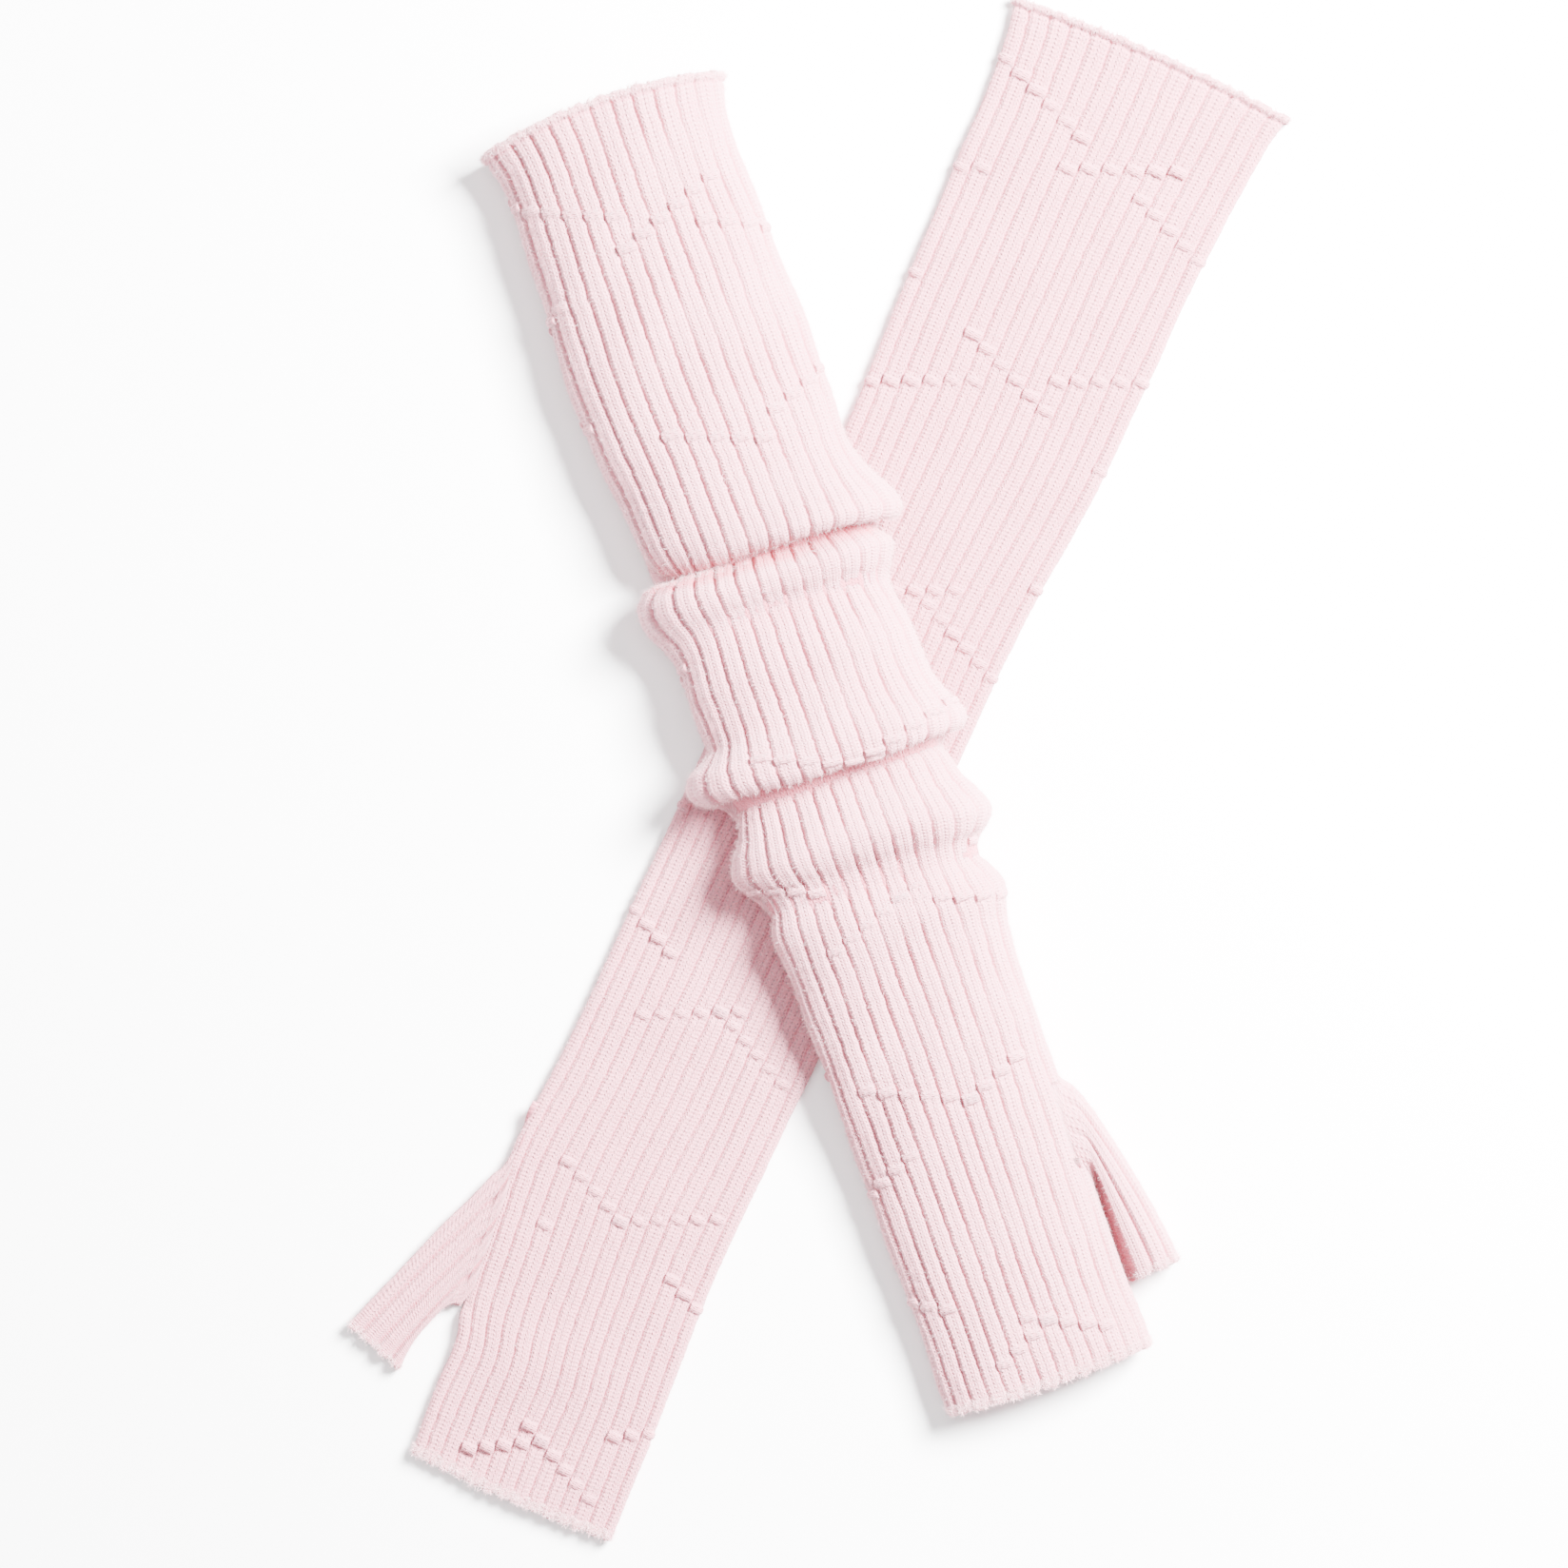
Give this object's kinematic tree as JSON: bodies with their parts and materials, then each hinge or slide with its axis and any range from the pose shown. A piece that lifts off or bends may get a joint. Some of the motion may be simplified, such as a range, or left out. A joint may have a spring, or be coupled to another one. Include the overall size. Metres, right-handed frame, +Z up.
{
  "type": "pair of long fingerless gloves",
  "caption": "Pair of long rib-knit fingerless gloves with thumb tubes, laid crossed: the lower one flat, the upper one filled out and slouched over it.",
  "frame": {"origin": "centre of the pair's outline on the surface it lies on", "axes": "+X to the right as pictured from above, +Y towards the arm openings, +Z up from the surface"},
  "size_m": [0.3293, 0.54, 0.0398],
  "materials": {
    "pink_wool": "soft pale pink brushed wool rib knit with a light fuzz"
  },
  "bodies": {
    "root": {"lower_glove": "pink_wool", "lower_glove_thumb": "pink_wool", "upper_glove": "pink_wool", "upper_glove_thumb": "pink_wool"}
  },
  "joints": []
}
